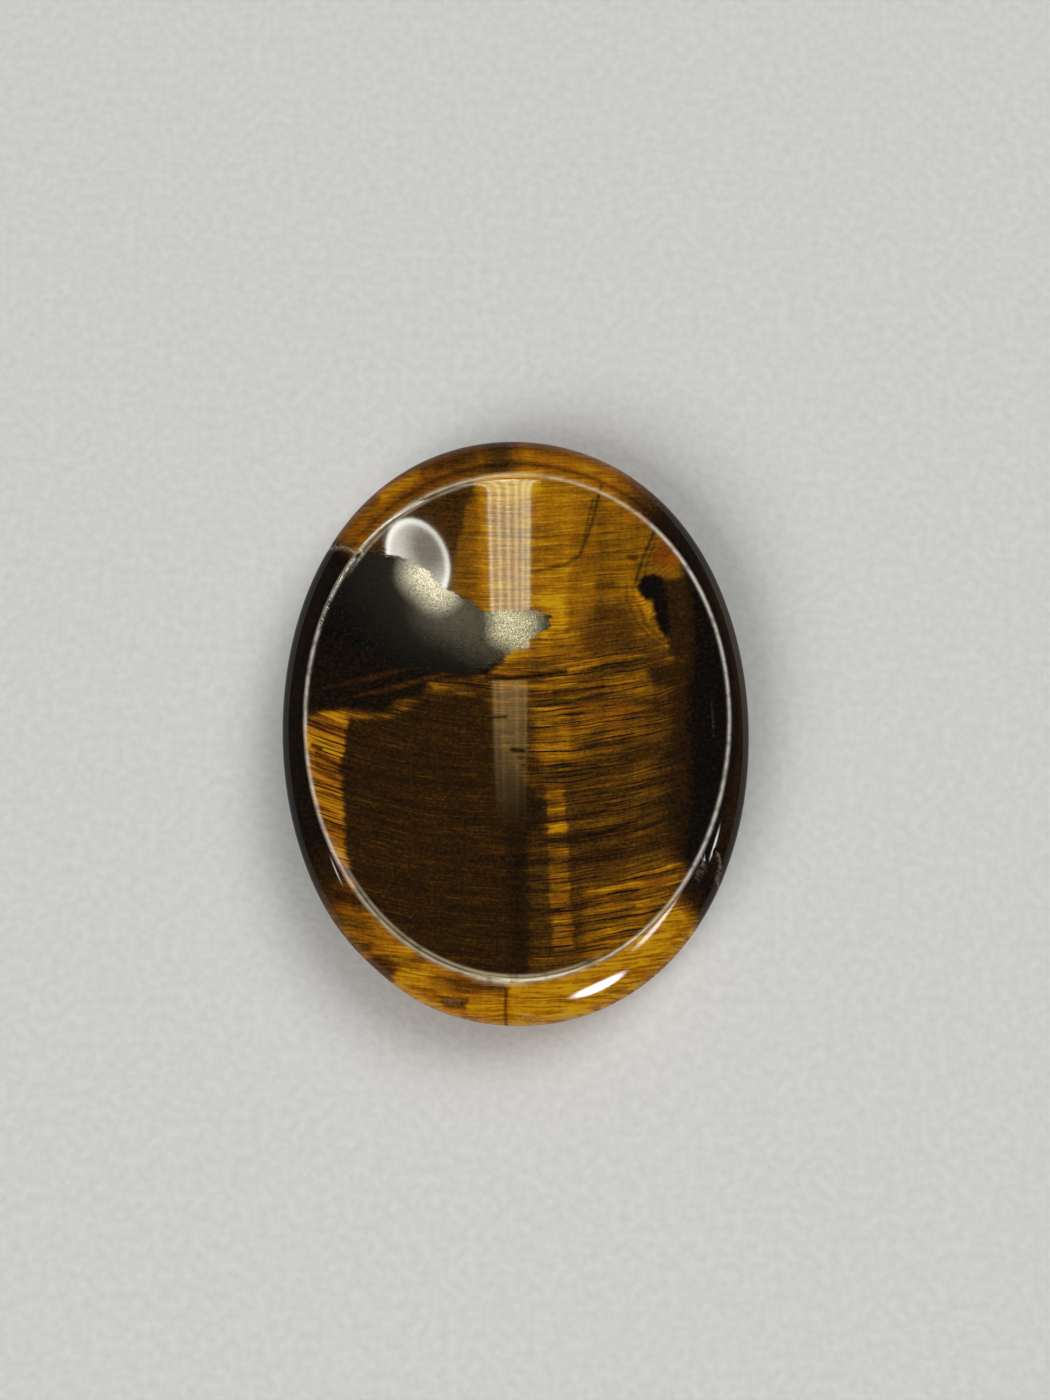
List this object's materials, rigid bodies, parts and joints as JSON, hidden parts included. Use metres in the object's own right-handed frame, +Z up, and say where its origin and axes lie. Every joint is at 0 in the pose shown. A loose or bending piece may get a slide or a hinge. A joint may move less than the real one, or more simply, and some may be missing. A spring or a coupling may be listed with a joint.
{
  "type": "polished tigers eye worry stone",
  "caption": "Oval palm stone cut from banded gold and brown tigers eye, with a flat back, a full round edge and a shallow thumb hollow ground into the top.",
  "frame": {"origin": "middle of the stone's footprint, on the flat back that it lies on", "axes": "+Z up out of the hollow, +Y along the stone's length towards the end that is uppermost in the picture, +X to the right in the picture"},
  "size_m": [0.035, 0.045, 0.0069],
  "materials": {
    "tigers_eye": "tumble polished, glassy, silky fibres under the surface"
  },
  "bodies": {
    "root": {"stone": "tigers_eye"}
  },
  "joints": []
}
